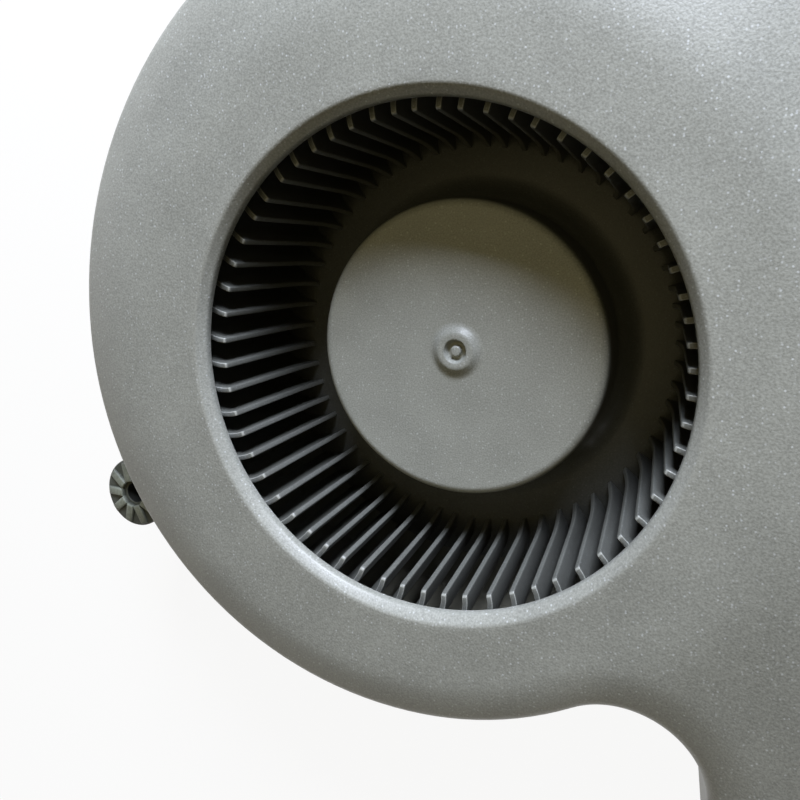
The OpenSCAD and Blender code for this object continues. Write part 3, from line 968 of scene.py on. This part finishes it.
@dataclass
class Housing:
    """The two halves of the scroll housing."""

    scroll: Scroll
    fixings: Fixings
    height: float = 32.0
    wall_t: float = 2.0
    roof_t: float = 2.1
    floor_t: float = 2.0
    brow_w: float = 4.0
    brow_drop: float = 1.1
    brow_r: float = 2.4
    edge_r: float = 1.75
    inner_r: float = 1.0
    floor_r: float = 0.5
    base_edge_r: float = 1.2
    seam_r: float = 0.25
    lap_t: float = 0.9
    lap_h: float = 1.2
    lap_gap: float = 0.1
    lap_r: float = 0.2
    strip: float = 1.0
    inlet_r: float = 33.0
    lip_w: float = 1.1
    lip_r: float = 0.3
    lip_back_r: float = 0.2
    lip_steps: int = 192
    seat_r: float = 6.6
    tube_r: float = 5.2
    board_z: float = 3.5
    wire_turn: float = 236.0
    wire_in: float = 11.2
    wire_w: float = 5.0
    wire_depth: float = 1.0
    wire_hole: float = 4.0
    over: float = 1.0

    def cover(self) -> Object:
        """Make the upper half with the inlet.

        Returns:
            The object.
        """
        bm, added, holes = (bmesh.new() for _ in range(3))
        fix, top, split = self.fixings, self.height, self.fixings.split_z
        low = top - self.roof_t
        end = -self.brow_w - self.brow_r - self.strip
        step_z = split + self.lap_h + self.lap_gap
        step_u = -self.wall_t + self.lap_t + self.lap_gap
        outer = [Corner(end, top), Corner(-self.brow_w, top, self.brow_r, 6),
                 Corner(0, top - self.brow_drop, self.edge_r, 8), Corner(0, split, self.seam_r, 2),
                 Corner(step_u, split), Corner(step_u, step_z), Corner(-self.wall_t, step_z)]
        inner = [outer[-1], Corner(-self.wall_t, low, self.inner_r), Corner(end, low)]
        rim = self.inlet_r + self.lip_w
        lip = [Corner(rim + self.strip, top), Corner(rim, top, self.lip_r),
               Corner(self.inlet_r, top - self.lip_w, self.lip_r),
               Corner(self.inlet_r, low, self.lip_back_r, 2), Corner(rim + self.strip, low)]
        self.scroll.carry(bm, outer)
        turn_round(bm, lip, self.lip_steps)
        self.finish_shell(bm, inner, top, low)
        obj = make_object(bm, "cover_moulding")
        fix.add_lugs(added, (split, fix.lug_top), True)
        combine(obj, added, Join.ADD)
        fix.cylinders(holes, fix.lugs(), fix.screw_r + fix.screw_gap,
                      (split - self.over, fix.lug_top - fix.lug_cap))
        combine(obj, holes, Join.CUT)
        return obj

    def finish_shell(self, bm: BMesh, lining: Sequence[Corner], outer: float, inner: float) -> None:
        """Give a swept wall its inner side and close it with its plate. Faces inside get the second finish,
        whose darker colour is painted shade.

        Args:
            bm: Mesh with the wall's outer side.
            lining: Section of the inner side.
            outer: Level of the plate's outer face.
            inner: Level of the plate's inner face.
        """
        before = set(bm.faces)
        self.scroll.carry(bm, lining)
        inside = set(bm.faces) - before
        bmesh.ops.remove_doubles(bm, verts=bm.verts, dist=TINY)
        self.scroll.fill_level(bm, outer)
        before = set(bm.faces)
        self.scroll.fill_level(bm, inner)
        inside |= set(bm.faces) - before
        # The inside faces take the darker finish: painted shade
        for face in inside:
            face.material_index = 1
        self.scroll.close_mouth(bm)
        tidy(bm)

    def casing(self) -> Object:
        """Make the lower half with base, ears and motor seat.

        Returns:
            The object.
        """
        bm, added = bmesh.new(), bmesh.new()
        fix, split = self.fixings, self.fixings.split_z
        end = -self.wall_t - self.strip
        tip_u = -self.wall_t + self.lap_t
        tip_z = split + self.lap_h
        outer = [Corner(end, 0), Corner(0, 0, self.base_edge_r, 6), Corner(0, split, self.seam_r, 2),
                 Corner(tip_u, split), Corner(tip_u, tip_z, self.lap_r, 2), Corner(-self.wall_t, tip_z)]
        inner = [outer[-1], Corner(-self.wall_t, self.floor_t, self.floor_r, 3), Corner(end, self.floor_t)]
        self.scroll.carry(bm, outer)
        self.finish_shell(bm, inner, 0.0, self.floor_t)
        obj = make_object(bm, "casing_moulding")
        fix.add_lugs(added, (fix.lug_z, split), False)
        fix.add_ears(added)
        fix.cylinders(added, [ORIGIN], self.seat_r, (self.floor_t / 2, self.board_z))
        combine(obj, added, Join.ADD)
        combine(obj, self.casing_cuts(), Join.CUT)
        return obj

    def casing_cuts(self) -> BMesh:
        """Give the screw holes, the ears' holes, the tube's seat and the groove for the motor's wires.

        Returns:
            The mesh.
        """
        cuts = bmesh.new()
        fix, over, split = self.fixings, self.over, self.fixings.split_z
        fix.cylinders(cuts, fix.lugs(), fix.screw_r + fix.screw_gap, (fix.lug_z - over, split + over))
        fix.cylinders(cuts, fix.ears(), fix.neck_r, (split - fix.ear_t - over, split + over))
        fix.cylinders(cuts, [ORIGIN], self.tube_r, (self.floor_t / 2, self.board_z + over))
        turn = Matrix.Rotation(radians(self.wire_turn), 4, "Z")
        reach = 2 * self.scroll.radius
        for length, top in ((reach, self.wire_depth), (self.wire_hole, self.floor_t + over)):
            middle = Matrix.Translation((self.wire_in + length / 2, 0, (top - over) / 2))
            size = Matrix.Diagonal((length, self.wire_w, top + over, 1))
            bmesh.ops.create_cube(cuts, size=1, matrix=turn @ middle @ size)
        return cuts

    def build(self) -> None:
        """Make and dress both halves."""
        # The inside finish paints shade inside both halves
        hand_over(self.cover(), "inlet_cover", Body.HOUSING, "cover_plastic", COVER_PLASTIC, INSIDE_PLASTIC_PAINTED_SHADE)
        hand_over(self.casing(), "scroll_casing", Body.HOUSING, "casing_plastic", CASING_PLASTIC,
                  INSIDE_PLASTIC_PAINTED_SHADE)


@dataclass
class Impeller:
    """Squirrel-cage wheel: hub, back plate, forward-curved blades and top ring."""

    in_r: float = 31.9
    out_r: float = 38.6
    blade_t: float = 0.8
    blade_top: float = 28.4
    bend_r: float = 8.04
    bend_steps: int = 6
    nose_r: float = 0.45
    side_r: float = 0.18
    edge_steps: int = 3
    sharp: float = 57.3
    tall: float = 10.0
    near: float = 1.0
    root_lean: float = 1.1
    root_h: float = 7.0
    root_cuts: int = 5
    root_spread: float = 1.5
    root_curve: float = 2.2
    rim_z: float = 4.9
    rim_t: float = 1.2
    rim_edge: float = 0.2
    plate_z: float = 6.1
    plate_edge: float = 0.4
    plate_in: float = 1.0
    hub_r: float = 22.3
    hub_top: float = 17.5
    hub_edge_r: float = 1.4
    flare_r: float = 4.0
    flare_out: float = 0.6
    gate_r: float = 2.7
    gate_foot_r: float = 3.9
    gate_h: float = 0.9
    gate_edge: float = 0.3
    gate_foot_edge: float = 0.5
    pit_r: float = 1.75
    pit_foot_r: float = 1.35
    pit_h: float = 0.3
    pit_edge: float = 0.15
    nub_r: float = 0.8
    nub_h: float = 0.9
    nub_edge: float = 0.25
    nub_foot_edge: float = 0.1
    cup_r: float = 20.6
    yoke_z: float = 5.5
    yoke_top: float = 15.9
    boss_r: float = 5.0
    bush_z: float = 14.0
    bushing_r: float = 3.2
    shaft_r: float = 1.5
    shaft_top: float = 16.4
    ring_w: float = 2.4
    ring_h: float = 2.0
    ring_out: float = 0.4
    ring_drop: float = 0.3
    ring_edge: float = 0.3
    steps: int = 144
    turns: tuple[float, ...] = (
        1.5, 6.7, 11.8, 16.7, 22.5, 28.2, 34.0, 40.1, 46.2, 52.4, 58.6, 65.0, 70.2, 76.0, 81.9, 87.0,
        92.7, 97.7, 103.0, 108.8, 114.3, 119.7, 125.5, 131.0, 137.5, 143.2, 150.1, 156.6, 163.3, 170.0,
        176.9, 183.5, 190.0, 196.4, 202.1, 208.1, 214.5, 221.2, 227.5, 233.6, 239.3, 244.8, 250.5, 256.6,
        261.9, 267.6, 272.9, 278.3, 284.5, 290.4, 296.1, 301.6, 307.9, 314.3, 320.6, 326.7, 332.8, 339.0,
        344.5, 350.0, 355.9)

    def hub(self, bm: BMesh) -> None:
        """Add hub, gate mark and back plate as one turned shape.

        Args:
            bm: Mesh that takes the shape.
        """
        top, plate, rim = self.hub_top, self.plate_z, self.rim_z
        pit = top - self.pit_h
        nub = pit + self.nub_h
        gate = top + self.gate_h
        upper = [Corner(0, nub), Corner(self.nub_r, nub, self.nub_edge),
                 Corner(self.nub_r, pit, self.nub_foot_edge, 2),
                 Corner(self.pit_foot_r, pit, self.pit_edge, 2), Corner(self.pit_r, gate, self.pit_edge),
                 Corner(self.gate_r, gate, self.gate_edge),
                 Corner(self.gate_foot_r, top, self.gate_foot_edge),
                 Corner(self.hub_r, top, self.hub_edge_r, 8),
                 Corner(self.hub_r + self.flare_out, plate, self.flare_r, 8),
                 Corner(self.in_r, plate, self.plate_edge, 2), Corner(self.out_r, rim, self.rim_edge, 2)]
        lower = [Corner(self.out_r, rim - self.rim_t, self.rim_edge, 2),
                 Corner(self.hub_r + self.plate_in, plate - self.rim_t), Corner(self.hub_r, self.yoke_z),
                 Corner(self.cup_r, self.yoke_z), Corner(self.cup_r, self.yoke_top),
                 Corner(self.boss_r, self.yoke_top), Corner(self.boss_r, self.bush_z),
                 Corner(self.bushing_r, self.bush_z), Corner(self.bushing_r, self.yoke_top),
                 Corner(self.shaft_r, self.yoke_top), Corner(self.shaft_r, self.shaft_top),
                 Corner(0, self.shaft_top)]
        turn_round(bm, upper + lower, self.steps)
        tidy(bm)

    def ring(self) -> BMesh:
        """Give the ring around the blades' tops.

        Returns:
            The mesh.
        """
        bm = bmesh.new()
        top = self.blade_top - self.ring_drop
        low = top - self.ring_h
        out = self.out_r + self.ring_out
        inside = out - self.ring_w
        places = ((out, top), (out, low), (inside, low), (inside, top))
        turn_round(bm, [Corner(u, z, self.ring_edge, 2) for u, z in places], self.steps, closed=True)
        tidy(bm)
        return bm

    def blade(self) -> BMesh:
        """Give one blade: a bent strip with a rounded inner edge that leans in towards the hub at its root.

        Returns:
            The mesh.
        """
        bm = bmesh.new()
        foot = self.rim_z - self.rim_t / 2
        verts = [bm.verts.new((self.in_r, y, foot)) for y in (-self.blade_t / 2, self.blade_t / 2)]
        bend = degrees(asin((self.out_r - self.in_r - self.blade_t / 2) / self.bend_r))
        swing(bm, [bm.edges.new(verts)], Vector((self.in_r, -self.bend_r, 0)), -bend, self.bend_steps)
        made = bmesh.ops.extrude_face_region(bm, geom=bm.faces[:], use_keep_orig=True)["geom"]
        bmesh.ops.translate(bm, vec=(0, 0, self.blade_top - foot), verts=verts_in(made))
        bmesh.ops.recalc_face_normals(bm, faces=bm.faces)
        nose = [e for e in bm.edges
                if all(v.co.x < self.in_r + TINY and v.co.z > foot + TINY for v in e.verts)]
        soften(bm, nose, self.nose_r, self.edge_steps)
        sharp = [e for e in bm.edges if e.calc_face_angle(0.0) > radians(self.sharp)]
        tops = [e for e in sharp if all(v.co.z > foot + self.near for v in e.verts)
                and sum(v.co.x for v in e.verts) / 2 < self.out_r - self.near]
        upright = [e for e in sharp if abs(e.verts[0].co.z - e.verts[1].co.z) > self.tall
                   and max(v.co.x for v in e.verts) < self.in_r + self.near]
        soften(bm, list({*tops, *upright}), self.side_r, self.edge_steps)
        self.lean_root(bm)
        tidy(bm)
        return bm

    def lean_root(self, bm: BMesh) -> None:
        """Lead the blade's inner edge inwards in a curve at its root.

        Args:
            bm: Mesh of the blade.
        """
        for i in range(1, self.root_cuts + 1):
            level = self.plate_z + self.root_h * (i / self.root_cuts) ** self.root_spread
            bmesh.ops.bisect_plane(bm, geom=bm.verts[:] + bm.edges[:] + bm.faces[:], dist=TINY,
                                   plane_co=(0, 0, level), plane_no=(0, 0, 1))
        for vert in bm.verts:
            rest = 1 - (vert.co.z - self.plate_z) / self.root_h
            if vert.co.x < self.in_r + self.near and rest > 0:
                vert.co.x -= self.root_lean * min(rest, 1.0) ** self.root_curve

    def build(self) -> None:
        """Make and dress the wheel."""
        bm = bmesh.new()
        self.hub(bm)
        add_mesh(bm, self.ring())
        add_copies(bm, self.blade(), [Matrix.Rotation(radians(turn), 4, "Z") for turn in self.turns])
        hand_over(make_object(bm, "impeller_moulding"), "impeller", Body.ROTOR, "impeller_plastic",
                  WHEEL_PLASTIC)


@dataclass
class Motor:
    """The motor's own parts, which keep their CAD shapes and get their finishes here."""

    finishes: dict[str, Finish] = field(default_factory=lambda: {
        "bearing_tube": TUBE_BRASS, "bearing_sleeve": SLEEVE_BRONZE, "thrust_plate": PALE_NYLON,
        "stator_core": CORE_STEEL, "upper_insulator": PALE_NYLON, "lower_insulator": PALE_NYLON,
        "windings": WINDING_COPPER, "terminal_pins": TUBE_BRASS, "circuit_board": BOARD_MASK,
        "driver_chip": CHIP_EPOXY, "hall_sensor": CHIP_EPOXY, "chip_capacitors": CAPACITOR_CERAMIC,
        "rotor_yoke": YOKE_STEEL, "magnet_ring": MAGNET_FERRITE, "rotor_shaft": SHAFT_STEEL,
        "shaft_bushing": TUBE_BRASS, "retaining_ring": PALE_NYLON, "oil_ring": CHIP_EPOXY})

    def build(self) -> None:
        """Dress the nodes."""
        for node, finish in self.finishes.items():
            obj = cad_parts[node]
            obj.data.materials.clear()
            obj.data.materials.append(finish.material())
            LOG.info("%s: %s", node, finish.name)


@dataclass
class Studio:
    """White ground, light from above, one soft lamp and the camera."""

    image_px: int = 800
    eye: tuple[float, float, float] = (28.957, 14.452, 99.819)
    aim: tuple[float, float, float] = (-1.747, 0.814, 0.0)
    roll: float = -0.224
    focal_px: float = 597.57
    axis_px: Span = (480.0, 330.0)
    sensor: float = 36.0
    clip: Span = (5.0, 20000.0)
    ground_side: float = 3000.0
    ground_glow: float = 0.92
    ground_colour: str = "#f4f4f4"
    paper_colour: str = "#ffffff"
    paper_top: float = 0.5
    air_level: float = 0.42
    air_span: Span = (0.55, 1.0)
    air_colour: str = "#ffedb3"
    key_turn: float = 77.0
    key_rise: float = 24.0
    key_far: float = 385.0
    key_aim: tuple[float, float, float] = (0.0, 0.0, 20.0)
    key_size: float = 157.0
    key_power: float = 4.05
    key_colour: str = "#e8efff"

    def seen(self, add: Adder) -> Node:
        """Give 1 for rays that look at the background directly, in a mirror or through glass.

        Args:
            add: Adds a node to a material or world.

        Returns:
            The node that gives it.
        """
        path = add("LightPath", {}).outputs
        two = add("Math", ADD, path["Is Camera Ray"], path["Is Glossy Ray"])
        return add("Math", {**ADD, "use_clamp": True}, two, path["Is Transmission Ray"])

    def ground(self) -> None:
        """Make the white ground."""
        bm = bmesh.new()
        bmesh.ops.create_grid(bm, x_segments=1, y_segments=1, size=self.ground_side / 2)
        floor = make_object(bm, "studio_floor")
        # Matte paper that takes faint shadows and glows for rays that look at it
        made = bpy.data.materials.new("white_paper_ground")
        add = emptied(made)
        matte = add("BsdfDiffuse", {}, Color=srgb(self.ground_colour))
        glow = add("Emission", {}, Color=srgb(self.paper_colour), Strength=1.0)
        share = add("Math", TIMES, self.seen(add), self.ground_glow)
        both = add("MixShader", {}, share, matte, glow)
        add("OutputMaterial", {}, Surface=both)
        floor.data.materials.append(made)

    def air(self) -> None:
        """Make the warm light from above, and white paper around the horizon for rays that look at it."""
        world = bpy.data.worlds.new("studio_air")
        bpy.context.scene.world = world
        add = emptied(world)
        sky = add("TexCoord", {}).outputs["Generated"]
        height = add("SeparateXYZ", {}, sky).outputs["Z"]
        band = add("MapRange", SMOOTH, height, self.paper_top, self.paper_top / 2)
        share = add("Math", TIMES, self.seen(add), band)
        above = add("MapRange", SMOOTH, height, *self.air_span, 0.0, self.air_level)
        warm = add("Background", {}, Color=srgb(self.air_colour), Strength=above)
        paper = add("Background", {}, Color=srgb(self.paper_colour), Strength=1.0)
        both = add("MixShader", {}, share, warm, paper)
        add("OutputWorld", {}, Surface=both)

    def key_lamp(self) -> None:
        """Hang the square soft lamp."""
        turn, rise = radians(self.key_turn), radians(self.key_rise)
        flat = cos(rise)
        away = Vector((flat * cos(turn), flat * sin(turn), sin(rise)))
        data = bpy.data.lights.new("key_lamp", "AREA")
        data.color = srgb(self.key_colour)[:3]
        data.size = self.key_size * MM
        data.energy = self.key_power
        obj = bpy.data.objects.new("key_lamp", data)
        obj.location = (Vector(self.key_aim) + self.key_far * away) * MM
        obj.rotation_euler = (-away).to_track_quat("-Z", "Y").to_euler()
        bpy.context.scene.collection.objects.link(obj)

    def camera(self) -> None:
        """Set the camera to the photograph's viewpoint."""
        data = bpy.data.cameras.new("camera")
        side = self.image_px
        data.sensor_width = self.sensor
        data.lens = self.focal_px / side * self.sensor
        data.shift_x = (side / 2 - self.axis_px[0]) / side
        data.shift_y = (self.axis_px[1] - side / 2) / side
        data.clip_start, data.clip_end = metres(self.clip)
        forward = (Vector(self.aim) - Vector(self.eye)).normalized()
        right = forward.cross(Vector((0, 1, 0))).normalized()
        up = right.cross(forward)
        turn = Matrix((right, up, -forward)).transposed().to_4x4()
        obj = bpy.data.objects.new("camera", data)
        obj.matrix_world = (Matrix.Translation(Vector(self.eye) * MM) @ turn
                            @ Matrix.Rotation(radians(self.roll), 4, "Z"))
        bpy.context.scene.collection.objects.link(obj)
        bpy.context.scene.camera = obj

    def build(self) -> None:
        """Set up ground, light and camera."""
        bpy.context.scene.view_settings.view_transform = "Standard"
        self.ground()
        self.air()
        self.key_lamp()
        self.camera()


def main() -> None:
    """Build the classes in order."""
    logging.basicConfig(level=logging.INFO, format="%(name)s: %(message)s")
    scroll = Scroll()
    fixings = Fixings(scroll)
    Studio().build()
    Housing(scroll, fixings).build()
    fixings.build()
    Impeller().build()
    Motor().build()


if __name__ == "__main__":
    main()
